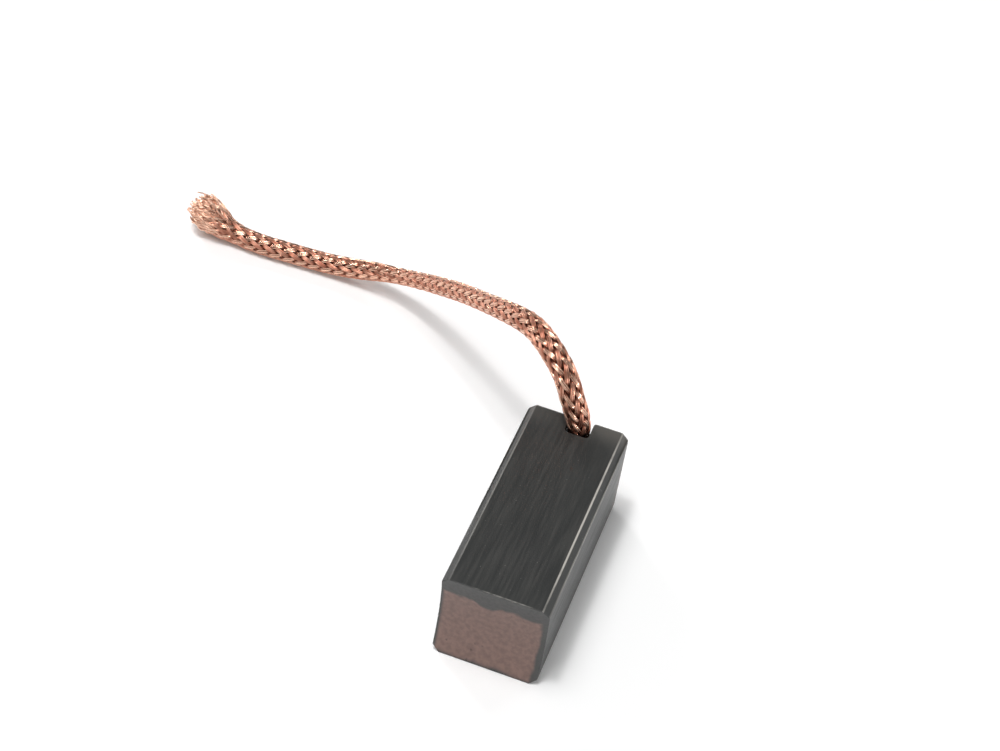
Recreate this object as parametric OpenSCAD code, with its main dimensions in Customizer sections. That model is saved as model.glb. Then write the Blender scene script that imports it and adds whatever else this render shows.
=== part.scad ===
// Carbon brush: a pressed copper-graphite block with a braided copper pigtail moulded into its back end.
// Millimetres. +Z is up and the contact face looks towards -Y. The origin is the centre of the
// block's underside, on the surface that the brush lies on.

/* [Block] */
// Width of the block, across the brush holder
block_w = 6; // [4:0.5:12]
// Height of the block
block_h = 6; // [5.5:0.5:8]
// Length of the block, over the corners of the contact face
block_l = 14.5; // [10:0.5:25]
// Chamfer along the four long edges
edge_chamfer = 0.4; // [0.1:0.1:0.8]
// Chamfer round the back end
back_chamfer = 0.2; // [0.05:0.05:0.4]

/* [Contact face] */
// Radius of the commutator that the contact face is ground to
commutator_r = 12; // [8:0.5:40]

/* [Wire notch] */
// Depth of the notch, measured from the back end along the block
notch_depth = 1.45; // [1.45:0.05:2.5]
// How far the notch's round floor lies below the top face
notch_drop = 3.2; // [3:0.1:4]
// Distance of the notch to the right of the block's middle
notch_offset = 0.2; // [-0.6:0.1:0.6]
// Gap between the pigtail and the notch's walls
notch_clearance = 0.1; // [0.05:0.05:0.3]
// Radius of the corner between the notch's inner wall and its sides and floor
notch_corner_r = 0.2; // [0.1:0.05:0.3]
// Radius of the rounded lip where the notch opens through the back end
notch_mouth_r = 0.3; // [0.1:0.05:0.5]

/* [Pigtail] */
// Diameter of the braided pigtail
wire_d = 1.2; // [0.8:0.1:1.3]
// Depth of the embedded root's axis below the top face
root_drop = 2.8; // [2.5:0.1:3.2]
// Length of the straight part of the root, embedded in the block
root_len = 3; // [1:0.5:5]
// Bend radius of the pigtail where it turns up through the notch, on its centre line
root_bend_r = 2.4; // [2:0.1:2.7]
// Gap between the pigtail and the channel that it is moulded into
root_clearance = 0.05; // [0.02:0.01:0.08]

/* [Hidden] */

$fn = 96;
over = 1;                    // how far a cutting tool runs past the face that it opens
wire_sides = 8;              // sides of the pigtail's tube
bend_step = 22.5;            // angle between two rings of the root's bend
front_y = -block_l / 2;
back_y = block_l / 2;
notch_w = wire_d + 2 * notch_clearance;
notch_y = back_y - notch_depth;
// The pigtail stands against the notch's inner wall, at this distance behind the block's middle
stand_y = notch_y + notch_clearance + wire_d / 2;
bend_start = [notch_offset, stand_y - root_bend_r, block_h - root_drop];
channel_r = wire_d / 2 + root_clearance;
lay_gap = 0.05;              // gap between the pigtail and the surface that it lies on

// The pigtail's route. The root is embedded, then come the arch, measured from where the pigtail
// passes the top face, and the stretch that comes down and lies, measured from the surface.
arch_from = [notch_offset, stand_y, block_h];
arch_points = [
    [-0.2, 0, 0.6], [-0.68, 0, 1.8], [-1.4, 0.45, 2.9], [-2.5, 1.25, 3.6],
    [-4, 2.55, 3.7], [-5.5, 3.85, 3], [-7.6, 5.75, 1.5]
];
lying_from = [notch_offset, stand_y, wire_d / 2 + lay_gap];
lying_points = [
    [-10, 7.95, 5], [-12.5, 9.95, 3.1], [-14.9, 11.35, 1.6], [-17.1, 11.95, 0.7],
    [-19.1, 12.05, 0.2], [-21.2, 12.05, 0], [-23.2, 11.95, 0], [-25.2, 11.95, 0],
    [-27, 12.1, 0.2], [-28.4, 12.25, 0.45], [-29.5, 12.35, 0.65]
];
route = concat(
    [bend_start - [0, root_len, 0]],
    [for (a = [0 : bend_step : 90]) bend_start + root_bend_r * [0, sin(a), 1 - cos(a)]],
    [for (p = arch_points) arch_from + p],
    [for (p = lying_points) lying_from + p]
);

// Outline of a rectangle with its low and its high corners cut off by their own chamfers
function chamfered(x0, x1, y0, y1, low, high) = [
    [x0 + low, y0], [x1 - high, y0], [x1, y0 + high], [x1, y1 - high],
    [x1 - high, y1], [x0 + low, y1], [x0, y1 - low], [x0, y0 + low]
];

// Outline of a strip of the block between two faces, with only the back corners cut off
function back_chamfered(low, high) = [
    [front_y, low], [back_y - back_chamfer, low], [back_y, low + back_chamfer],
    [back_y, high - back_chamfer], [back_y - back_chamfer, high], [front_y, high]
];

function unit(v) = v / norm(v);

// Direction of the route at a point: the mean of the two stretches that meet there
function heading(i) = unit(
    (i < len(route) - 1 ? unit(route[i + 1] - route[i]) : [0, 0, 0])
    + (i > 0 ? unit(route[i] - route[i - 1]) : [0, 0, 0])
);

// Sideways direction of a ring, carried along the route without twist
function sideways(i) = i == 0 ? [1, 0, 0]
    : let (before = sideways(i - 1), t = heading(i)) unit(before - (before * t) * t);

// The corners of one ring of the tube, square to the route
function ring(i, r) = let (t = heading(i), u = sideways(i), v = cross(t, u))
    [for (k = [0 : wire_sides - 1]) let (a = 360 * k / wire_sides) route[i] + r * (cos(a) * u + sin(a) * v)];

// The pressed block before anything is cut into it: its section, trimmed from the side and from above
module blank() {
    intersection() {
        translate([0, back_y + over, 0]) rotate([90, 0, 0]) linear_extrude(block_l + 2 * over)
            polygon(chamfered(-block_w / 2, block_w / 2, 0, block_h, edge_chamfer, edge_chamfer));
        rotate([90, 0, 90]) linear_extrude(block_w + 2 * over, center = true)
            polygon(back_chamfered(0, block_h));
        translate([0, 0, -over]) rotate([0, 0, 90]) mirror([0, 1, 0]) linear_extrude(block_h + 2 * over)
            polygon(back_chamfered(-block_w / 2, block_w / 2));
    }
}

// The commutator's surface, which the contact face is ground to
module commutator() {
    translate([0, front_y - sqrt(pow(commutator_r, 2) - pow(block_h / 2, 2)), block_h / 2])
        rotate([0, 90, 0]) cylinder(r = commutator_r, h = block_w + 2 * over, center = true);
}

// Right half of the notch's outline seen from above: a round inner corner and a rounded lip
module half_outline() {
    half = notch_w / 2;
    difference() {
        union() {
            translate([half - notch_corner_r, notch_y + notch_corner_r]) circle(r = notch_corner_r);
            translate([0, notch_y]) square([half - notch_corner_r, notch_depth + over]);
            translate([0, notch_y + notch_corner_r]) square([half, notch_depth]);
            translate([0, back_y - notch_mouth_r])
                square([half + notch_mouth_r, notch_mouth_r + over]);
        }
        translate([half + notch_mouth_r, back_y - notch_mouth_r]) circle(r = notch_mouth_r);
    }
}

// The notch that leads the pigtail out at the top and at the back, straight-sided with a round floor
module notch() {
    floor_centre_z = block_h - notch_drop + notch_w / 2;
    translate([notch_offset, 0, floor_centre_z]) {
        for (side = [0, 1]) mirror([side, 0, 0])
            linear_extrude(block_h - floor_centre_z + over) half_outline();
        rotate([-90, 0, 0]) rotate_extrude(angle = 180) half_outline();
    }
}

// The channel that the pigtail's root is moulded into: a straight bore and a quarter bend
module root_channel() {
    translate(bend_start) {
        rotate([90, 0, 0]) cylinder(r = channel_r, h = root_len + root_clearance);
        translate([0, 0, root_bend_r]) rotate([0, 90, 0])
            rotate_extrude(angle = 90) translate([root_bend_r, 0]) circle(r = channel_r);
    }
}

// The copper-graphite block, pressed and ground as one piece
module carbon_block() {
    color([0.25, 0.25, 0.25]) difference() {
        blank();
        commutator();
        notch();
        root_channel();
    }
}

// The braided copper pigtail, from its embedded root to its cut end
module pigtail() {
    rings = len(route);
    points = [for (i = [0 : rings - 1]) each ring(i, wire_d / 2)];
    walls = [
        for (i = [0 : rings - 2]) for (k = [0 : wire_sides - 1])
            let (a = i * wire_sides + k, b = i * wire_sides + (k + 1) % wire_sides)
                each [[a, a + wire_sides, b], [b, a + wire_sides, b + wire_sides]]
    ];
    root_cap = [[for (k = [0 : wire_sides - 1]) k]];
    free_cap = [[for (k = [wire_sides - 1 : -1 : 0]) (rings - 1) * wire_sides + k]];
    color([0.75, 0.49, 0.41]) polyhedron(points = points, faces = concat(root_cap, walls, free_cap));
}

carbon_block();
pigtail();
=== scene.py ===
import logging
import math
import random
from dataclasses import dataclass, field
from enum import Enum

import bmesh
import bpy
import numpy as np
from mathutils import Matrix, Vector, noise

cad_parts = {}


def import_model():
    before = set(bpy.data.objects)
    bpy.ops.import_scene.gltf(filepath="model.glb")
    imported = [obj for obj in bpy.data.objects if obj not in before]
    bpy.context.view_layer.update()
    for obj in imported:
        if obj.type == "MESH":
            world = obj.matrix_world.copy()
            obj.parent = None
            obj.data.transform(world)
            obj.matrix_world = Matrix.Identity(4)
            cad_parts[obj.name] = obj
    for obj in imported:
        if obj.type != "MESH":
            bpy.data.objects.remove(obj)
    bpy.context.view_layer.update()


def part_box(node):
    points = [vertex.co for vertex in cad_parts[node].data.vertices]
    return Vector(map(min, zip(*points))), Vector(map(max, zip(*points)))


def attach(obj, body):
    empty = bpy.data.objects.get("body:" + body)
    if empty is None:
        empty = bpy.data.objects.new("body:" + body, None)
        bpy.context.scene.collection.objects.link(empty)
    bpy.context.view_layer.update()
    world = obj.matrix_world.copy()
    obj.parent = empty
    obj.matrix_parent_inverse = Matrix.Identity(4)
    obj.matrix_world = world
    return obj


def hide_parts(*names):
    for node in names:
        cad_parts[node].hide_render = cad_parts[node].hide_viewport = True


# Carbon brush: the dressed model of a copper-graphite block with a braided copper pigtail.
#
# The scene is in metres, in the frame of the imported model: +Z is up, the contact face looks towards
# -Y and the origin is the centre of the block's underside. The brush's shapes are worked out in
# millimetres and scaled to metres as their meshes are finished. The studio is in metres.

MM = 0.001
ON_FACE = 1e-4  # a vertex within this many millimetres of a face's plane lies on the face
LOG = logging.getLogger("carbon_brush")


class Lay(Enum):
    """The two ways round the pigtail in which the braid's carriers run."""

    RIGHT_HAND = 1
    LEFT_HAND = -1


# ---------------------------------------------------------------------------------------------
# Mesh helpers
# ---------------------------------------------------------------------------------------------

def object_from_bmesh(name: str, shape: bmesh.types.BMesh) -> bpy.types.Object:
    """Turns a bmesh into an object at the origin and frees the bmesh.

    Args:
        name: Name of the new object and of its mesh.
        shape: The bmesh, which is used up.

    Returns:
        The new object, linked to the scene.
    """
    bmesh.ops.recalc_face_normals(shape, faces=shape.faces)
    mesh = bpy.data.meshes.new(name)
    shape.to_mesh(mesh)
    shape.free()
    made = bpy.data.objects.new(name, mesh)
    bpy.context.collection.objects.link(made)
    return made


def baked_mesh(made: bpy.types.Object) -> bpy.types.Mesh:
    """Gives the mesh of an object as its modifiers or its curve bevel leave it.

    Args:
        made: The object, which stays as it is.

    Returns:
        A new mesh.
    """
    bpy.context.view_layer.update()
    graph = bpy.context.evaluated_depsgraph_get()
    return bpy.data.meshes.new_from_object(made.evaluated_get(graph), depsgraph=graph)


def discard(made: bpy.types.Object) -> None:
    """Removes a helper object and its data.

    Args:
        made: The object, whose data is a curve or a mesh.
    """
    data = made.data
    bpy.data.objects.remove(made)
    if isinstance(data, bpy.types.Curve):
        bpy.data.curves.remove(data)
    else:
        bpy.data.meshes.remove(data)


def smooth_fade(value: float, start: float, end: float) -> float:
    """Rises smoothly from 0 at start to 1 at end.

    Args:
        value: Where the fade is read.
        start: Value up to which the fade is 0.
        end: Value from which the fade is 1.

    Returns:
        The fade, from 0 to 1.
    """
    share = min(max((value - start) / (end - start), 0.0), 1.0)
    return share * share * (3.0 - 2.0 * share)


# ---------------------------------------------------------------------------------------------
# Finishes
# ---------------------------------------------------------------------------------------------

class FinishGraph:
    """A material's node tree under construction, with short calls for its common nodes."""

    def __init__(self, name: str) -> None:
        """Starts a material that has only an output and a principled shader.

        Args:
            name: Name of the material.
        """
        self.material = bpy.data.materials.new(name)
        self.material.use_nodes = True
        self.tree = self.material.node_tree
        self.tree.nodes.clear()
        output = self.tree.nodes.new("ShaderNodeOutputMaterial")
        self.shader = self.tree.nodes.new("ShaderNodeBsdfPrincipled")
        self.tree.links.new(self.shader.outputs["BSDF"], output.inputs["Surface"])

    def feed(self, socket: bpy.types.NodeSocket, value: object) -> None:
        """Links a socket to another node's output, or sets it to a plain value.

        Args:
            socket: The input.
            value: Another node's output, or a plain value.
        """
        if isinstance(value, bpy.types.NodeSocket):
            self.tree.links.new(value, socket)
        else:
            socket.default_value = value

    def place_mm(self) -> bpy.types.NodeSocket:
        """Reads the object's own coordinates.

        Returns:
            The position in millimetres.
        """
        place = self.tree.nodes.new("ShaderNodeTexCoord")
        scale = self.tree.nodes.new("ShaderNodeVectorMath")
        scale.operation = "SCALE"
        self.tree.links.new(place.outputs["Object"], scale.inputs[0])
        scale.inputs["Scale"].default_value = 1.0 / MM
        return scale.outputs[0]

    def recorded(self, name: str) -> bpy.types.NodeSocket:
        """Reads a value that is recorded on the mesh.

        Args:
            name: Name of the mesh's attribute.

        Returns:
            The value's socket.
        """
        record = self.tree.nodes.new("ShaderNodeAttribute")
        record.attribute_name = name
        return record.outputs["Fac"]

    def parts_of(self, vector: bpy.types.NodeSocket) -> list[bpy.types.NodeSocket]:
        """Splits a vector into its three components.

        Args:
            vector: The vector's socket.

        Returns:
            The sockets of x, y and z.
        """
        split = self.tree.nodes.new("ShaderNodeSeparateXYZ")
        self.feed(split.inputs[0], vector)
        return [split.outputs[axis] for axis in "XYZ"]

    def math(self, operation: str, *terms: object) -> bpy.types.NodeSocket:
        """Combines one to three values.

        Args:
            operation: Name of the node's operation, such as ADD.
            *terms: Sockets or numbers.

        Returns:
            The resulting value's socket.
        """
        step = self.tree.nodes.new("ShaderNodeMath")
        step.operation = operation
        for socket, term in zip(step.inputs, terms):
            self.feed(socket, term)
        return step.outputs[0]

    def fade(
        self, value: object, start: float, end: float, low: float = 0.0, high: float = 1.0
    ) -> bpy.types.NodeSocket:
        """Maps a value smoothly from one range to another.

        Args:
            value: Socket that is read.
            start: Value that gives low.
            end: Value that gives high.
            low: Result at and before start.
            high: Result at and after end.

        Returns:
            The result's socket.
        """
        ramp = self.tree.nodes.new("ShaderNodeMapRange")
        ramp.interpolation_type = "SMOOTHSTEP"
        for name, number in (
            ("Value", value), ("From Min", start), ("From Max", end), ("To Min", low), ("To Max", high)
        ):
            self.feed(ramp.inputs[name], number)
        return ramp.outputs["Result"]

    def grain(
        self,
        place: bpy.types.NodeSocket,
        per_mm: float,
        stretch: tuple[float, float, float] = (1.0, 1.0, 1.0),
        detail: float = 3.0,
        shift: float = 0.0,
    ) -> bpy.types.NodeSocket:
        """Reads a fractal noise.

        Args:
            place: Position in millimetres.
            per_mm: Features per millimetre.
            stretch: Share of that fineness along each axis; a small share draws the noise out.
            detail: Octaves of finer noise.
            shift: Offset that gives a different pattern.

        Returns:
            The noise's value, about 0.5 on average.
        """
        scale = self.tree.nodes.new("ShaderNodeMapping")
        self.feed(scale.inputs["Vector"], place)
        scale.inputs["Scale"].default_value = stretch
        scale.inputs["Location"].default_value = (shift, shift * 0.7, shift * 1.3)
        cloud = self.tree.nodes.new("ShaderNodeTexNoise")
        self.feed(cloud.inputs["Vector"], scale.outputs[0])
        cloud.inputs["Scale"].default_value = per_mm
        cloud.inputs["Detail"].default_value = detail
        return cloud.outputs[0]

    def blend(self, share: object, first: object, second: object) -> bpy.types.NodeSocket:
        """Mixes two colours by a share.

        Args:
            share: 0 for the first colour, 1 for the second.
            first: Socket or linear RGB colour.
            second: Socket or linear RGB colour.

        Returns:
            The mixed colour's socket.
        """
        mix = self.tree.nodes.new("ShaderNodeMix")
        mix.data_type = "RGBA"
        self.feed(mix.inputs[0], share)
        for socket, colour in ((mix.inputs[6], first), (mix.inputs[7], second)):
            self.feed(socket, colour if isinstance(colour, bpy.types.NodeSocket) else (*colour, 1.0))
        return mix.outputs[2]

    def relief(self, height: bpy.types.NodeSocket, depth_mm: float) -> None:
        """Gives the shader's surface a fine relief.

        Args:
            height: Value from 0 to 1.
            depth_mm: Height difference between 0 and 1.
        """
        bump = self.tree.nodes.new("ShaderNodeBump")
        bump.inputs["Distance"].default_value = depth_mm * MM
        self.feed(bump.inputs["Height"], height)
        self.tree.links.new(bump.outputs[0], self.shader.inputs["Normal"])


@dataclass(frozen=True)
class CarbonFinish:
    """Pressed copper-graphite: dark drawn sides, rubbed edges with a painted highlight, a notch painted
    near black as shade and a bare ground contact face.
    """

    half_width: float
    half_length: float
    height: float
    edge_chamfer: float
    notch_offset: float
    notch_half_width: float
    notch_depth: float
    notch_drop: float
    side_colour: tuple[float, float, float] = (0.0185, 0.020, 0.0195)
    rubbed_colour: tuple[float, float, float] = (0.030, 0.0300, 0.0280)
    worn_colour: tuple[float, float, float] = (0.095, 0.088, 0.078)
    # pale colour of real specks and rubbed edges, and of the painted highlight on the edges
    pale_wear_and_highlight_colour: tuple[float, float, float] = (0.46, 0.44, 0.40)
    ground_colour: tuple[float, float, float] = (0.215, 0.132, 0.110)
    skin_colour: tuple[float, float, float] = (0.060, 0.060, 0.058)
    # painted shade inside the notch
    notch_shade_colour: tuple[float, float, float] = (0.008, 0.008, 0.008)

    def material(self) -> bpy.types.Material:
        """Builds the block's material.

        Returns:
            The material, which reads the block's own coordinates.
        """
        graph = FinishGraph("copper_graphite")
        place = graph.place_mm()
        x, y, z = graph.parts_of(place)
        streaks = graph.grain(place, 5.0, (1.0, 0.06, 1.0), detail=4.0)
        clouds = graph.grain(place, 0.55, detail=2.0, shift=3.0)
        side = graph.blend(graph.fade(streaks, 0.35, 0.75), self.side_colour, self.rubbed_colour)
        handled = graph.math("MULTIPLY", graph.fade(y, self.half_length - 5.0, self.half_length - 0.5),
                             graph.fade(clouds, 0.35, 0.7))
        side = graph.blend(graph.math("MULTIPLY", handled, 0.6), side, self.rubbed_colour)
        worn = graph.math("MULTIPLY", graph.fade(y, self.half_length - 1.9, self.half_length - 0.1),
                          graph.fade(x, -1.0, 2.2, low=0.35, high=0.8))
        side = graph.blend(worn, side, self.worn_colour)
        specks = graph.grain(place, 6.0, detail=1.0, shift=9.0)
        side = graph.blend(graph.fade(specks, 0.74, 0.82, high=0.14), side, self.pale_wear_and_highlight_colour)
        # The rubbed edges are lightened for real burnishing and for a painted highlight.
        rub_and_highlight = self.rubbed_edge_and_highlight(graph, x, y, z, place)
        side = graph.blend(rub_and_highlight, side, self.pale_wear_and_highlight_colour)
        ground = self.ground_face(graph, x, z, place)
        front = graph.fade(y, -self.half_length + 0.42, -self.half_length + 0.40)
        front = graph.math("MULTIPLY", front, self.facing_front(graph))
        colour = graph.blend(front, side, ground)
        # Painted shade: the notch's walls and floor are coloured near black, and made rougher.
        notch_shade_mask = self.inside_notch(graph, x, y, z)
        colour = graph.blend(notch_shade_mask, colour, self.notch_shade_colour)
        graph.feed(graph.shader.inputs["Base Color"], colour)
        rough = graph.fade(streaks, 0.3, 0.8, low=0.42, high=0.56)
        rough = graph.math("SUBTRACT", rough, graph.math("MULTIPLY", rub_and_highlight, 0.12))
        rough = graph.math("ADD", rough, graph.math("MULTIPLY", notch_shade_mask, 0.4))
        graph.feed(graph.shader.inputs["Roughness"], rough)
        graph.relief(graph.math("ADD", streaks, graph.grain(place, 14.0, detail=2.0, shift=5.0)), 0.006)
        return graph.material

    def inside_notch(
        self,
        graph: FinishGraph,
        x: bpy.types.NodeSocket,
        y: bpy.types.NodeSocket,
        z: bpy.types.NodeSocket,
    ) -> bpy.types.NodeSocket:
        """Finds the walls and the floor of the notch, which are painted near black as shade.

        Args:
            graph: The material under construction.
            x: Position across the block.
            y: Position along the block.
            z: Height.

        Returns:
            1 inside the notch, 0 on the rest of the block.
        """
        aside = graph.math("ABSOLUTE", graph.math("SUBTRACT", x, self.notch_offset))
        across = graph.fade(aside, self.notch_half_width + 0.1, self.notch_half_width)
        inner = self.half_length - self.notch_depth
        along = graph.fade(y, inner - 0.15, inner + 0.05)
        below_top = graph.fade(z, self.height - 0.02, self.height - 0.12)
        floor = self.height - self.notch_drop
        above_floor = graph.fade(z, floor - 0.1, floor + 0.2)
        upright = graph.math("MULTIPLY", below_top, above_floor)
        return graph.math("MULTIPLY", across, graph.math("MULTIPLY", along, upright))

    def facing_front(self, graph: FinishGraph) -> bpy.types.NodeSocket:
        """Finds the surfaces that look towards the commutator.

        Args:
            graph: The material under construction.

        Returns:
            1 on those surfaces, 0 on the others.
        """
        place = graph.tree.nodes.new("ShaderNodeTexCoord")
        facing = graph.parts_of(place.outputs["Normal"])[1]
        return graph.fade(facing, -0.75, -0.9)

    def rubbed_edge_and_highlight(
        self,
        graph: FinishGraph,
        x: bpy.types.NodeSocket,
        y: bpy.types.NodeSocket,
        z: bpy.types.NodeSocket,
        place: bpy.types.NodeSocket,
    ) -> bpy.types.NodeSocket:
        """Finds the burnished lines along the long chamfers and the front top edge, which also carry a
        painted highlight.

        Args:
            graph: The material under construction.
            x: Position across the block.
            y: Position along the block.
            z: Height.
            place: Position, for the breaks in the lines.

        Returns:
            1 on a rubbed edge and its painted highlight, 0 away from it.
        """
        from_side = graph.math("SUBTRACT", self.half_width, graph.math("ABSOLUTE", x))
        from_mid = graph.math("ABSOLUTE", graph.math("SUBTRACT", z, self.height / 2))
        from_top = graph.math("SUBTRACT", self.height / 2, from_mid)
        inner = graph.math("ABSOLUTE", graph.math("SUBTRACT", from_side, self.edge_chamfer))
        outer = graph.math("ABSOLUTE", graph.math("SUBTRACT", from_top, self.edge_chamfer))
        on_inner = graph.math("MULTIPLY", graph.fade(inner, 0.07, 0.02), graph.fade(from_top, 0.12, 0.04))
        on_outer = graph.math("MULTIPLY", graph.fade(outer, 0.09, 0.03), graph.fade(from_side, 0.12, 0.04))
        breaks = graph.grain(place, 3.0, (1.0, 0.35, 1.0), detail=3.0, shift=2.0)
        ends = graph.fade(graph.math("ABSOLUTE", y), self.half_length - 3.5, self.half_length - 0.3,
                          low=1.0, high=0.35)
        # Painted highlight: the lines are stronger on the right side, where the light catches the chamfer,
        # and weaker towards the ends.
        lit_side_strength = graph.math("MULTIPLY", graph.fade(x, -1.0, 1.0, low=0.25), ends)
        lines = graph.math("MAXIMUM", on_inner, graph.math("MULTIPLY", on_outer, 0.5))
        lines = graph.math("MULTIPLY", graph.math("MULTIPLY", lines, lit_side_strength),
                           graph.fade(breaks, 0.2, 0.5, low=0.35))
        # A broken painted highlight along the front top edge.
        brow = graph.math("MULTIPLY", graph.fade(z, self.height - 0.06, self.height - 0.01),
                          graph.fade(y, 0.12 - self.half_length, 0.04 - self.half_length))
        from_brow = graph.math("ABSOLUTE", graph.math("SUBTRACT", x, 0.4))
        brow = graph.math("MULTIPLY", brow, graph.fade(from_brow, 2.0, 1.0))
        brow_highlight = graph.math("MULTIPLY", brow, graph.fade(breaks, 0.25, 0.65, high=0.4))
        return graph.math("MAXIMUM", lines, brow_highlight)

    def ground_face(
        self,
        graph: FinishGraph,
        x: bpy.types.NodeSocket,
        z: bpy.types.NodeSocket,
        place: bpy.types.NodeSocket,
    ) -> bpy.types.NodeSocket:
        """Colours the contact face: bare ground copper-graphite inside an uneven grey skin.

        Args:
            graph: The material under construction.
            x: Position across the block.
            z: Height.
            place: Position, for the mottling and the border's wander.

        Returns:
            The contact face's colour.
        """
        wander = graph.math("SUBTRACT", graph.grain(place, 0.9, detail=5.0, shift=1.0), 0.5)
        dip = graph.fade(graph.math("ABSOLUTE", graph.math("ADD", x, 0.4)), 0.9, 0.2, high=0.45)
        top = graph.math("SUBTRACT", graph.math("ADD", graph.math("MULTIPLY", wander, 1.0), 4.85), dip)
        inside_top = graph.fade(graph.math("SUBTRACT", top, z), -0.16, 0.12)
        low = graph.math("ADD", graph.math("MULTIPLY", wander, 0.5), 0.12)
        inside_low = graph.fade(graph.math("SUBTRACT", z, low), -0.1, 0.2)
        right = graph.math("ADD", graph.math("MULTIPLY", wander, 0.6), 2.68)
        inside_right = graph.fade(graph.math("SUBTRACT", right, x), -0.1, 0.12)
        inside_left = graph.fade(graph.math("ADD", x, 2.86), -0.08, 0.12)
        bare = graph.math("MULTIPLY", graph.math("MULTIPLY", inside_top, inside_low),
                          graph.math("MULTIPLY", inside_right, inside_left))
        mottle = graph.grain(place, 3.5, detail=4.0, shift=7.0)
        tone = graph.blend(graph.fade(mottle, 0.3, 0.7), tuple(0.86 * c for c in self.ground_colour),
                           tuple(1.14 * c for c in self.ground_colour))
        pits = graph.fade(graph.grain(place, 2.2, detail=1.5, shift=4.0), 0.7, 0.78)
        tone = graph.blend(graph.math("MULTIPLY", pits, 0.6), tone, self.side_colour)
        return graph.blend(bare, self.skin_colour, tone)


@dataclass(frozen=True)
class BraidFinish:
    """Bare drawn copper wire with painted light: pale crowns as a painted highlight, duller copper in
    random patches and tones and as painted shade on one lay, and painted shade darkening towards the gaps.
    """

    bright_colour: tuple[float, float, float] = (0.98, 0.66, 0.50)
    dull_and_shaded_colour: tuple[float, float, float] = (0.54, 0.215, 0.14)
    # painted shade between the carriers and in the core
    gap_shade_colour: tuple[float, float, float] = (0.09, 0.03, 0.018)

    def material(self) -> bpy.types.Material:
        """Builds the wires' material, which reads the wires' own depth and tone.

        Returns:
            The material.
        """
        graph = FinishGraph("copper_braid")
        place = graph.place_mm()
        level, tone, fray = (graph.recorded(name) for name in ("depth", "tone", "fray"))
        patches = graph.grain(place, 1.6, detail=3.0)
        # The recorded tone holds a random tone per wire and, on the right-handed lay, a painted shade.
        lay_shade_and_tone = graph.math("MULTIPLY", tone, 0.9)
        dulling_and_shade = graph.math("ADD", graph.fade(patches, 0.35, 0.75, high=0.2), lay_shade_and_tone)
        # Painted shade below the crowns: the deeper a wire lies, the duller it is painted, so the crowns
        # keep the pale copper as a painted highlight.
        dulling_and_shade = graph.math("MAXIMUM", dulling_and_shade, graph.fade(level, 0.08, 0.4))
        # The frayed end gets less of the painted shade.
        dulling_and_shade = graph.math("MULTIPLY", dulling_and_shade, graph.fade(fray, 0.2, 0.9, low=1.0, high=0.3))
        colour = graph.blend(dulling_and_shade, self.bright_colour, self.dull_and_shaded_colour)
        # Painted shade in the gaps: the deepest wires are painted near black.
        colour = graph.blend(graph.fade(level, 0.2, 0.75), colour, self.gap_shade_colour)
        graph.feed(graph.shader.inputs["Base Color"], colour)
        graph.shader.inputs["Metallic"].default_value = 1.0
        matt = graph.math("MULTIPLY", tone, 0.18)
        rough = graph.math("ADD", graph.fade(patches, 0.3, 0.8, low=0.14, high=0.22), matt)
        rough = graph.math("ADD", rough, graph.fade(fray, 0.1, 0.9, high=0.12))
        graph.feed(graph.shader.inputs["Roughness"], rough)
        return graph.material


# ---------------------------------------------------------------------------------------------
# The block
# ---------------------------------------------------------------------------------------------

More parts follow.
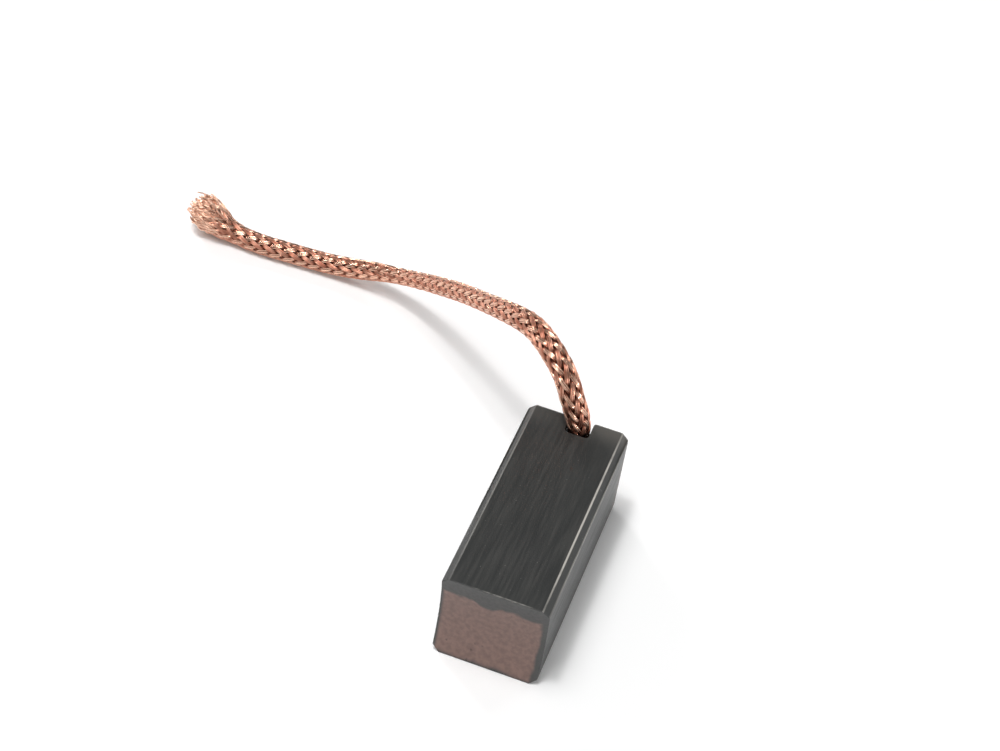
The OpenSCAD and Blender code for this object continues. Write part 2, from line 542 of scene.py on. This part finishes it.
@dataclass
class CarbonBlock:
    """The pressed block: chamfered bar, ground contact face and the notch for the pigtail.

    Attributes:
        worn_edge: Small radius on each edge that turns by more than worn_angle degrees.
        slices: Level slices that let the contact face curve.
        overrun: How far the notch's cutter passes the faces that it opens.
    """

    width: float
    length: float
    height: float
    edge_chamfer: float = 0.4
    back_rounding: float = 0.3
    commutator_radius: float = 12.0
    notch_depth: float = 1.45
    notch_drop: float = 3.2
    notch_offset: float = 0.2
    notch_width: float = 1.4
    notch_corner: float = 0.2
    notch_lip: float = 0.3
    worn_edge: float = 0.05
    worn_angle: float = 24.0
    slices: int = 32
    overrun: float = 1.0

    def bar(self) -> bmesh.types.BMesh:
        """Makes the chamfered bar with its contact face ground to the commutator.

        Returns:
            The bar, in millimetres.
        """
        shape = bmesh.new()
        bmesh.ops.create_cube(shape, size=1.0)
        bmesh.ops.scale(shape, vec=(self.width, self.length, self.height), verts=shape.verts)
        bmesh.ops.translate(shape, vec=(0, 0, self.height / 2), verts=shape.verts)
        long_edges = [e for e in shape.edges if abs(e.verts[0].co.y - e.verts[1].co.y) > self.length / 2]
        bmesh.ops.bevel(shape, geom=long_edges, offset=self.edge_chamfer, offset_type="OFFSET", segments=1,
                        profile=0.5, affect="EDGES", material=-1)
        back_edges = [e for e in shape.edges if min(v.co.y for v in e.verts) > self.length / 2 - ON_FACE]
        bmesh.ops.bevel(shape, geom=back_edges, offset=self.back_rounding, offset_type="OFFSET", segments=4,
                        profile=0.5, affect="EDGES", material=-1)
        self.slice_up(shape)
        centre_y = -self.length / 2 - math.sqrt(self.commutator_radius ** 2 - (self.height / 2) ** 2)
        for vert in shape.verts:
            if vert.co.y < -self.length / 2 + ON_FACE:
                rise = vert.co.z - self.height / 2
                vert.co.y = centre_y + math.sqrt(self.commutator_radius ** 2 - rise ** 2)
        return shape

    def slice_up(self, shape: bmesh.types.BMesh) -> None:
        """Cuts the bar into level slices, so that its contact face can curve.

        Args:
            shape: The bar, which is changed.
        """
        for step in range(1, self.slices):
            level = self.height * step / self.slices
            bmesh.ops.bisect_plane(shape, geom=shape.verts[:] + shape.edges[:] + shape.faces[:], dist=1e-5,
                                   plane_co=(0, 0, level), plane_no=(0, 0, 1))

    def notch(self) -> bmesh.types.BMesh:
        """Makes the notch's cutter: an upright slot with a round floor and a flared mouth.

        Returns:
            The cutter, in millimetres.
        """
        shape = bmesh.new()
        half = self.notch_width / 2
        floor_centre = self.height - self.notch_drop + half
        inner, back = self.length / 2 - self.notch_depth, self.length / 2
        ring = bmesh.ops.create_circle(shape, segments=64, radius=1.0, cap_ends=False)["verts"]
        outline = {v: (Vector((v.co.x, 0, v.co.y)), v.co.y > 1e-6) for v in ring}
        edges = list(shape.edges)

        def settle(members: dict, reach: float, y: float) -> None:
            """Puts one ring of the cutter in its place.

            Args:
                members: The ring's vertices, each with its direction and whether it is in the upper half.
                reach: The ring's radius.
                y: Its place along the block.
            """
            for vert, (direction, upper) in members.items():
                lift = self.notch_drop + self.overrun if upper else 0.0
                vert.co = direction * reach + Vector((self.notch_offset, y, floor_centre + lift))

        corner, lip = self.notch_corner, self.notch_lip
        stations = [(half - corner * (1 - math.sin(a)), inner + corner * (1 - math.cos(a)))
                    for a in (math.radians(d) for d in range(0, 91, 15))]
        stations += [(half + lip * (1 - math.cos(a)), back - lip * (1 - math.sin(a)))
                     for a in (math.radians(d) for d in range(0, 91, 10))]
        stations.append((half + lip, back + self.overrun))
        settle(outline, *stations[0])
        bmesh.ops.contextual_create(shape, geom=edges)
        for reach, y in stations[1:]:
            grown = bmesh.ops.extrude_edge_only(shape, edges=edges)["geom"]
            fresh = [g for g in grown if isinstance(g, bmesh.types.BMVert)]
            partner = {}
            for vert in fresh:
                for edge in vert.link_edges:
                    other = edge.other_vert(vert)
                    if other in outline:
                        partner[vert] = outline[other]
            outline = partner
            edges = [e for e in grown if isinstance(e, bmesh.types.BMEdge)
                     and e.verts[0] in outline and e.verts[1] in outline]
            settle(outline, reach, y)
        bmesh.ops.contextual_create(shape, geom=edges)
        return shape

    def build(self) -> bpy.types.Object:
        """Cuts the notch into the bar and rounds every edge a little.

        Returns:
            The block, in metres.
        """
        bar = object_from_bmesh("bar", self.bar())
        cutter = object_from_bmesh("cutter", self.notch())
        cut = bar.modifiers.new("notch", "BOOLEAN")
        cut.operation, cut.solver, cut.object = "DIFFERENCE", "EXACT", cutter
        worn = bar.modifiers.new("worn_edges", "BEVEL")
        worn.width, worn.segments, worn.limit_method = self.worn_edge, 3, "ANGLE"
        worn.angle_limit = math.radians(self.worn_angle)
        worn.use_clamp_overlap = False
        worn.harden_normals = True
        bar.data.shade_smooth()
        mesh = baked_mesh(bar)
        mesh.transform(Matrix.Scale(MM, 4))
        mesh.name = "ground_block"
        block = bpy.data.objects.new("ground_block", mesh)
        bpy.context.collection.objects.link(block)
        discard(bar)
        discard(cutter)
        finish = CarbonFinish(
            half_width=self.width / 2, half_length=self.length / 2, height=self.height,
            edge_chamfer=self.edge_chamfer, notch_offset=self.notch_offset,
            notch_half_width=self.notch_width / 2, notch_depth=self.notch_depth, notch_drop=self.notch_drop,
        )
        mesh.materials.clear()
        mesh.materials.append(finish.material())
        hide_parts("carbon_block")
        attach(block, "root")
        LOG.info("ground_block: %d faces", len(mesh.polygons))
        return block


# ---------------------------------------------------------------------------------------------
# The pigtail
# ---------------------------------------------------------------------------------------------

# A point on a wire in millimetres, its depth below the crowns and how far it has frayed
WirePoint = tuple[Vector, float, float]


@dataclass
class Station:
    """One place along the pigtail, with the directions across it."""

    distance: float
    centre: Vector
    side: Vector
    up: Vector

    def around(self, angle: float, reach: float) -> Vector:
        """Gives the point at an angle round the centre line and at a distance from it."""
        return self.centre + reach * (math.cos(angle) * self.side + math.sin(angle) * self.up)


@dataclass
class Route:
    """The pigtail's centre line, through points in millimetres."""

    points: list[Vector]
    step: float = 0.14
    spans: int = 40

    def dense(self) -> list[Vector]:
        """Runs a natural cubic spline through the points, like a springy batten.

        Returns:
            Closely spaced points on the curve.
        """
        knots = np.array([tuple(point) for point in self.points])
        gaps = np.linalg.norm(np.diff(knots, axis=0), axis=1)
        count = len(knots)
        system, pull = np.eye(count), np.zeros((count, 3))
        slopes = np.diff(knots, axis=0) / gaps[:, None]
        for i in range(1, count - 1):
            system[i, i - 1:i + 2] = gaps[i - 1], 2 * (gaps[i - 1] + gaps[i]), gaps[i]
            pull[i] = 6 * (slopes[i] - slopes[i - 1])
        bend = np.linalg.solve(system, pull)
        fine: list[Vector] = []
        for i, gap in enumerate(gaps):
            for share in np.arange(0, 1, 1 / self.spans):
                rest = 1 - share
                lean = ((rest ** 3 - rest) * bend[i] + (share ** 3 - share) * bend[i + 1]) * gap ** 2 / 6
                fine.append(Vector(rest * knots[i] + share * knots[i + 1] + lean))
        fine.append(self.points[-1].copy())
        return fine

    def stations(self) -> list[Station]:
        """Walks along the curve in even steps, carrying the cross directions without twist.

        Returns:
            The stations, from the root to the free end.
        """
        fine = self.dense()
        lengths = [0.0]
        for a, b in zip(fine, fine[1:]):
            lengths.append(lengths[-1] + (b - a).length)
        count = round(lengths[-1] / self.step)
        centres, index = [], 0
        for number in range(count + 1):
            goal = lengths[-1] * number / count
            while index < len(fine) - 2 and lengths[index + 1] < goal:
                index += 1
            span = lengths[index + 1] - lengths[index]
            centres.append((goal, fine[index].lerp(fine[index + 1], (goal - lengths[index]) / span)))
        made: list[Station] = []
        side = Vector((1, 0, 0))
        for number, (goal, centre) in enumerate(centres):
            ahead = centres[min(number + 1, count)][1]
            behind = centres[max(number - 1, 0)][1]
            along = (ahead - behind).normalized()
            side = (side - side.dot(along) * along).normalized()
            made.append(Station(goal, centre, side, along.cross(side)))
        return made


@dataclass
class Pigtail:
    """A braid of bare copper wires, moulded into the block at one end and cut at the other.

    Attributes:
        carriers: Groups of wires that run each way round.
        wires: Wires in each carrier.
        wire_spacing: Distance between neighbouring wires, in wire radii.
        wave: How far a carrier moves in and out as it passes under and over the others.
        wave_hold: How long it stays out or in before it crosses; more is longer.
        crown: How far a carrier's outer wires lie below its middle one.
        swells: Changes of the braid's radius, each with the distances from the root between which it
            comes about.
        flare: How far the cut end opens, over the flare length.
        gather: How far the tips close in again.
        wobble: How far a wire strays in and out.
        sway: How far it strays sideways, in wire spacings.
        splay: How far the flared wires spread at random.
        curl: How far they bend at random.
        stray_root: How far before the flare the loose wires start.
        lay_shade: Painted shade on the wires that run right-handed, so that the other lay looks lit; 0 is
            new copper.
        tone_spread: How far the tones differ within a lay.
        lean: Which way the flared wires lean.
        seed: Start of the draws from dice. It doesn't reach noise_vector, because noise.seed_set isn't
            called, so the bends of the cut end differ from run to run.
    """

    diameter: float = 1.2
    lay_length: float = 10.4
    carriers: int = 12
    wires: int = 3
    wire_radius: float = 0.045
    wire_sides: int = 6
    wire_spacing: float = 1.85
    wave: float = 0.065
    wave_hold: float = 1.8
    crown: float = 0.02
    swells: tuple[tuple[float, float, float], ...] = (
        (0.07, 5.6, 6.8), (0.06, 7.0, 8.2), (-0.13, 12.5, 21.0),
        (-0.06, 24.0, 29.5), (0.06, 30.0, 33.0), (0.07, 30.0, 34.0),
    )
    wobble: float = 0.012
    sway: float = 0.22
    splay: float = 0.14
    curl: float = 0.24
    flare_length: float = 3.7
    flare: float = 0.38
    gather: float = 0.16
    strays: int = 150
    stray_radius: float = 0.05
    stray_root: float = 0.8
    core_radius: float = 0.09
    core_lay_length: float = 14.0
    # painted shade on the right-handed lay
    lay_shade: float = 0.65
    tone_spread: float = 0.35
    lean: Vector = field(default_factory=lambda: Vector((0.0, 0.12, 0.3)))
    seed: int = 11
    stations: list[Station] = field(default_factory=list)

    def radius_at(self, distance: float) -> float:
        """Gives the braid's outer radius, which changes where it is pushed together or drawn out.

        Args:
            distance: Distance from the root.

        Returns:
            The radius, in millimetres.
        """
        radius = self.diameter / 2
        for change, start, end in self.swells:
            radius += change * smooth_fade(distance, start, end)
        radius += self.flare * smooth_fade(distance, self.total - self.flare_length, self.total - 1.0)
        return radius - self.gather * smooth_fade(distance, self.total - 0.9, self.total + 0.2)

    @property
    def total(self) -> float:
        """The pigtail's length along its centre line."""
        return self.stations[-1].distance

    def wave_at(self, lay: Lay, carrier: int, distance: float) -> float:
        """Says whether a carrier passes over or under the others.

        Args:
            lay: Way round in which the carrier runs.
            carrier: Its number.
            distance: Distance from the root.

        Returns:
            1 where it is on the outside, -1 where it is underneath.
        """
        crossing = 2 * self.carriers * distance / self.lay_length
        if lay is Lay.RIGHT_HAND:
            swing = math.cos(math.pi / 2 * (crossing + 2 * carrier - 0.5))
        else:
            swing = -math.cos(math.pi / 2 * (crossing - 2 * carrier + 0.5))
        return math.tanh(self.wave_hold * swing) / math.tanh(self.wave_hold)

    def wire_path(self, lay: Lay, carrier: int, number: int, dice: random.Random) -> list[WirePoint]:
        """Follows one wire of a carrier along the whole pigtail.

        Args:
            lay: Way round in which the carrier runs.
            carrier: The carrier's number.
            number: The wire's number in it.
            dice: Source of the small irregularities.

        Returns:
            Its points in millimetres, each with its depth, from 0 outside to 1 inside, and its fraying,
            from 0 in the braid to 1 at the cut end.
        """
        offset = number - (self.wires - 1) / 2
        edge = abs(offset) / ((self.wires - 1) / 2)
        phase = 2 * math.pi * carrier / self.carriers
        drift = Vector((dice.uniform(-1, 1), dice.uniform(-1, 1), dice.uniform(-1, 1)))
        seed = Vector((dice.uniform(0, 99), dice.uniform(0, 99), 0))
        cut = self.total - 0.2 + dice.uniform(-0.5, 0.25)
        path: list[WirePoint] = []
        for station in self.stations:
            if station.distance > cut:
                break
            loose = smooth_fade(station.distance, self.total - self.flare_length, self.total)
            swing = self.wave_at(lay, carrier, station.distance)
            outer = self.radius_at(station.distance)
            wander = noise.noise(seed + Vector((0, 0, station.distance * 0.9)))
            middle = outer - self.wire_radius - self.wave
            reach = middle + self.wave * swing * (1 - loose) - self.crown * edge ** 2 * (0.5 + 0.5 * swing)
            reach += self.wobble * wander
            pitch = 2 * math.pi * middle / self.lay_length
            spacing = self.wire_spacing * self.wire_radius * math.sqrt(1 + pitch ** 2) / middle
            angle = phase + lay.value * 2 * math.pi * station.distance / self.lay_length
            angle += (offset + self.sway * wander) * spacing
            point = station.around(angle, reach)
            bend = noise.noise_vector(seed + Vector((station.distance * 1.8, 0, 0)))
            point += loose ** 2 * (self.splay * drift + self.curl * bend)
            point += loose ** 2 * self.lean
            point.z = max(point.z, self.wire_radius)
            depth = (outer - self.wire_radius - reach) / (2 * self.wave + self.crown)
            # The depth fades out at the frayed end, which is painted with less shade.
            path.append((point, depth * (1 - 0.8 * loose), loose))
        return path

    def bundle(self, name: str, paths: list[list[WirePoint]], radius: float, tones: list[float],
               material: bpy.types.Material) -> bpy.types.Object:
        """Makes round wires along their paths and joins them in one piece.

        Args:
            name: Name of the piece.
            paths: The wires' paths, in millimetres.
            radius: The wires' radius, in millimetres.
            tones: Each wire's tone, from 0 for new copper to 1 for the dullest; on the right-handed lay it
                includes a painted shade.
            material: The wires' finish.

        Returns:
            The piece, in metres.
        """
        curve = bpy.data.curves.new(name, "CURVE")
        curve.dimensions = "3D"
        curve.bevel_depth = radius * MM
        curve.bevel_resolution = self.wire_sides // 2 - 2
        curve.use_fill_caps = True
        for path in paths:
            spline = curve.splines.new("POLY")
            spline.points.add(len(path) - 1)
            for knot, (point, _, _) in zip(spline.points, path):
                knot.co = (*(point * MM), 1.0)
        helper = bpy.data.objects.new(name + "_curve", curve)
        bpy.context.collection.objects.link(helper)
        mesh = baked_mesh(helper)
        discard(helper)
        mesh.name = name
        mesh.shade_smooth()
        self.record_depth(mesh, paths, tones)
        mesh.materials.clear()
        mesh.materials.append(material)
        made = bpy.data.objects.new(name, mesh)
        bpy.context.collection.objects.link(made)
        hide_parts("pigtail")
        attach(made, "root")
        LOG.info("%s: %d wires, %d faces", name, len(paths), len(mesh.polygons))
        return made

    def record_depth(self, mesh: bpy.types.Mesh, paths: list[list[WirePoint]], tones: list[float]) -> None:
        """Writes each wire's depth, tone and fraying on its mesh, for the finish to read.

        Args:
            mesh: The joined wires.
            paths: The wires' paths.
            tones: The wires' tones.
        """
        rows: list[tuple[float, float, float]] = []
        for path, shade in reversed(list(zip(paths, tones))):
            rows += [(path[end][1], shade, path[end][2]) for end in (-1, 0)]
        for path, shade in zip(paths, tones):
            rows += [(depth, shade, frayed) for _, depth, frayed in path]
        for number, name in enumerate(("depth", "tone", "fray")):
            values = [min(max(row[number], 0.0), 1.0) for row in rows for _ in range(self.wire_sides)]
            mesh.attributes.new(name, "FLOAT", "POINT").data.foreach_set("value", values)

    def build(self) -> list[bpy.types.Object]:
        """Braids the wires, fills the core and frays the cut end.

        Returns:
            The pigtail's pieces.
        """
        dice = random.Random(self.seed)
        material = BraidFinish().material()
        pieces = []
        # Painted light: the right-handed lay is given a painted shade, so that the left-handed lay looks
        # lit.
        for lay, name, lay_shade_and_tone in (
            (Lay.RIGHT_HAND, "braid_right_lay", self.lay_shade), (Lay.LEFT_HAND, "braid_left_lay", 0.0)
        ):
            paths = [self.wire_path(lay, carrier, number, dice)
                     for carrier in range(self.carriers) for number in range(self.wires)]
            tones = [lay_shade_and_tone + dice.uniform(0.0, self.tone_spread) for _ in paths]
            pieces.append(self.bundle(name, paths, self.wire_radius, tones, material))
        for name, paths, radius in (
            ("braid_core", self.core_paths(dice), self.core_radius),
            ("frayed_wires", self.stray_paths(dice), self.stray_radius),
        ):
            pieces.append(self.bundle(name, paths, radius, [dice.random() for _ in paths], material))
        return pieces

    def stray_paths(self, dice: random.Random) -> list[list[WirePoint]]:
        """Spreads loose single wires in the cut end, where the braid has frayed.

        Args:
            dice: Source of each wire's place, bends and length.

        Returns:
            Their paths, in millimetres.
        """
        paths = []
        for _ in range(self.strays):
            share = math.sqrt(dice.random())
            phase = dice.uniform(0, 2 * math.pi)
            turn = dice.uniform(-0.5, 0.5)
            seed = Vector((dice.uniform(0, 99), dice.uniform(0, 99), 0))
            cut = self.total + 0.14 - 0.95 * share ** 3 + dice.uniform(-0.12, 0.06)
            path = []
            for station in self.stations:
                if not self.total - self.flare_length - self.stray_root < station.distance < cut:
                    continue
                loose = smooth_fade(station.distance, self.total - self.flare_length, self.total - 0.6)
                angle = phase + turn * loose
                reach = share * (self.radius_at(station.distance) - 2.4 * self.wire_radius * (1 - loose))
                bend = noise.noise_vector(seed + Vector((0, 0, station.distance * 0.8)))
                curl = noise.noise_vector(seed + Vector((0, 50, station.distance * 2.4)))
                point = station.around(angle, reach)
                point += loose * (0.3 * bend + 0.16 * curl) + loose ** 2 * self.lean
                point.z = max(point.z, self.stray_radius)
                # Loose wires are given some depth near the braid, and so some painted shade, and none at
                # the tip.
                path.append((point, 0.4 * (1 - loose), loose))
            paths.append(path)
        return paths

    def core_paths(self, dice: random.Random) -> list[list[WirePoint]]:
        """Lays two rings of thicker strands, which fill the braid's middle.

        Args:
            dice: Source of where each strand is cut.

        Returns:
            Their paths, in millimetres.
        """
        paths = []
        for ring, strands in ((0.33, 11), (0.14, 5)):
            for strand in range(strands):
                phase = 2 * math.pi * strand / strands
                cut = self.total - 3.0 + dice.uniform(-0.4, 0.4)
                path = []
                for station in self.stations[::2]:
                    if station.distance > cut:
                        break
                    angle = phase + 2 * math.pi * station.distance / self.core_lay_length
                    reach = ring * self.radius_at(station.distance) / (self.diameter / 2)
                    # The core is given a deep value, so that it is painted in the gap shade.
                    path.append((station.around(angle, reach), 0.9, 0.0))
                paths.append(path)
        return paths


# ---------------------------------------------------------------------------------------------
# The studio
# ---------------------------------------------------------------------------------------------

@dataclass(frozen=True)
class Viewpoint:
    """The camera: what it looks at, from which side, and how far it leans."""

    aim: tuple[float, float, float] = (-5.97, 11.46, 3.0)
    distance: float = 129.4
    azimuth: float = 13.0
    elevation: float = 43.6
    roll: float = 9.2
    focal_length: float = 78.55

    def place(self) -> None:
        """Makes the scene's camera."""
        around, above = math.radians(self.azimuth), math.radians(self.elevation)
        level = math.cos(above)
        outward = Vector((math.sin(around) * level, -math.cos(around) * level, math.sin(above)))
        turn = outward.to_track_quat("Z", "Y").to_matrix().to_4x4()
        data = bpy.data.cameras.new("camera")
        data.lens = self.focal_length
        data.sensor_width = 36.0
        data.clip_start = 0.005
        camera = bpy.data.objects.new("camera", data)
        bpy.context.collection.objects.link(camera)
        spot = (Vector(self.aim) + self.distance * outward) * MM
        lean = Matrix.Rotation(math.radians(self.roll), 4, "Z")
        camera.matrix_world = Matrix.Translation(spot) @ turn @ lean
        bpy.context.scene.camera = camera


@dataclass(frozen=True)
class Studio:
    """The pale floor, the soft lamps and the white surroundings."""

    floor_size: float = 1.2
    floor_glow: float = 0.06
    diffuse_level: float = 0.2
    overhead_level: float = 0.18

    def lamp(
        self, name: str, spot: tuple[float, float, float], size: tuple[float, float], watts: float
    ) -> None:
        """Hangs a rectangular soft lamp that looks at the block.

        Args:
            name: Name of the lamp.
            spot: Its place, in metres.
            size: Its width and height, in metres.
            watts: Its power.
        """
        data = bpy.data.lights.new(name, "AREA")
        data.shape = "RECTANGLE"
        data.size, data.size_y = size
        data.energy = watts
        made = bpy.data.objects.new(name, data)
        bpy.context.collection.objects.link(made)
        made.location = spot
        made.rotation_euler = Vector(spot).to_track_quat("Z", "Y").to_euler()

    def floor(self) -> None:
        """Lays the pale floor."""
        shape = bmesh.new()
        bmesh.ops.create_grid(shape, x_segments=1, y_segments=1, size=self.floor_size / 2)
        made = object_from_bmesh("floor", shape)
        graph = FinishGraph("pale_floor")
        graph.shader.inputs["Base Color"].default_value = (0.95, 0.95, 0.95, 1.0)
        graph.shader.inputs["Roughness"].default_value = 0.9
        graph.shader.inputs["Specular IOR Level"].default_value = 0.0
        rays = graph.tree.nodes.new("ShaderNodeLightPath")
        seen = graph.math("MAXIMUM", rays.outputs["Is Camera Ray"], rays.outputs["Is Glossy Ray"])
        graph.shader.inputs["Emission Color"].default_value = (1.0, 1.0, 1.0, 1.0)
        graph.feed(graph.shader.inputs["Emission Strength"], graph.math("MULTIPLY", seen, self.floor_glow))
        made.data.materials.append(graph.material)

    def surroundings(self) -> None:
        """Makes the even white surroundings."""
        world = bpy.data.worlds.new("surroundings")
        bpy.context.scene.world = world
        world.use_nodes = True
        tree = world.node_tree
        back = tree.nodes["Background"]
        back.inputs["Color"].default_value = (1.0, 1.0, 1.0, 1.0)
        rays = tree.nodes.new("ShaderNodeLightPath")
        place = tree.nodes.new("ShaderNodeTexCoord")
        split = tree.nodes.new("ShaderNodeSeparateXYZ")
        tree.links.new(place.outputs["Generated"], split.inputs[0])
        mirrored = tree.nodes.new("ShaderNodeMapRange")
        mirrored.interpolation_type = "SMOOTHSTEP"
        mirrored.inputs["From Min"].default_value = 0.02
        mirrored.inputs["From Max"].default_value = 0.5
        mirrored.inputs["To Min"].default_value = 1.0
        mirrored.inputs["To Max"].default_value = self.overhead_level
        tree.links.new(split.outputs["Z"], mirrored.inputs["Value"])
        level = self.diffuse_level
        for name, strength in (
            ("Is Glossy Ray", mirrored.outputs[0]), ("Is Transmission Ray", 1.0), ("Is Camera Ray", 1.0)
        ):
            choice = tree.nodes.new("ShaderNodeMix")
            tree.links.new(rays.outputs[name], choice.inputs[0])
            for socket, value in ((choice.inputs[2], level), (choice.inputs[3], strength)):
                if isinstance(value, bpy.types.NodeSocket):
                    tree.links.new(value, socket)
                else:
                    socket.default_value = value
            level = choice.outputs[0]
        tree.links.new(level, back.inputs["Strength"])

    def set_up(self) -> None:
        """Builds the floor, the surroundings and the lamps."""
        self.floor()
        self.surroundings()
        self.lamp("key", (-0.10, -0.05, 0.48), (0.22, 0.22), 1.15)
        self.lamp("glint", (-0.085, -0.06, 0.47), (0.045, 0.045), 0.5)
        self.lamp("front", (-0.08, -0.20, 0.45), (0.07, 0.07), 0.22)
        self.lamp("right", (0.48, -0.06, 0.06), (0.06, 0.06), 0.8)
        self.lamp("left_back", (-0.34, 0.28, 0.24), (0.08, 0.08), 0.6)
        self.lamp("edge", (0.17, 0.33, 0.28), (0.08, 0.05), 0.12)


def route_points(stand: Vector) -> list[Vector]:
    """Gives the pigtail's route, from its root in the block to its cut end.

    Args:
        stand: Where the pigtail passes the block's top face, in the notch.

    Returns:
        The route's points, in millimetres.
    """
    root_length, root_drop, root_bend, lay_gap = 3.0, 2.8, 2.4, 0.05
    lie = Vector((stand.x, stand.y, Pigtail.diameter / 2 + lay_gap))
    root = stand - Vector((0, root_bend, root_drop))
    arch = [(-0.2, 0, 0.6), (-0.68, 0, 1.8), (-1.4, 0.45, 2.9), (-2.5, 1.25, 3.6),
            (-4, 2.55, 3.7), (-5.5, 3.85, 3), (-7.6, 5.75, 1.5)]
    lying = [(-10, 7.95, 5), (-12.5, 9.95, 3.1), (-14.9, 11.35, 1.6), (-17.1, 11.95, 0.7),
             (-19.1, 12.05, 0.2), (-21.2, 12.05, 0), (-23.2, 11.95, 0), (-25.2, 11.95, 0),
             (-27, 12.1, 0.2), (-28.4, 12.25, 0.45), (-29.5, 12.35, 0.65)]
    points = [root - Vector((0, root_length, 0))]
    points += [root + root_bend * Vector((0, math.sin(a), 1 - math.cos(a)))
               for a in (math.radians(22.5 * k) for k in range(5))]
    points += [stand + Vector(p) for p in arch]
    points += [lie + Vector(p) for p in lying]
    return points


def main() -> None:
    """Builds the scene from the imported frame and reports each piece."""
    logging.basicConfig(level=logging.INFO, format="%(name)s: %(message)s")
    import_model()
    bpy.context.scene.view_settings.view_transform = "Standard"
    Viewpoint().place()

    low, high = (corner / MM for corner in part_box("carbon_block"))
    block = CarbonBlock(high.x - low.x, high.y - low.y, high.z - low.z)
    notch_wall = high.y - block.notch_depth
    stand = Vector((block.notch_offset, notch_wall + block.notch_width / 2, block.height))
    points = route_points(stand)
    route = Route(points)
    pigtail = Pigtail(stations=route.stations())
    pieces = pigtail.build()
    block.build()
    Studio().set_up()


if __name__ == "__main__":
    main()
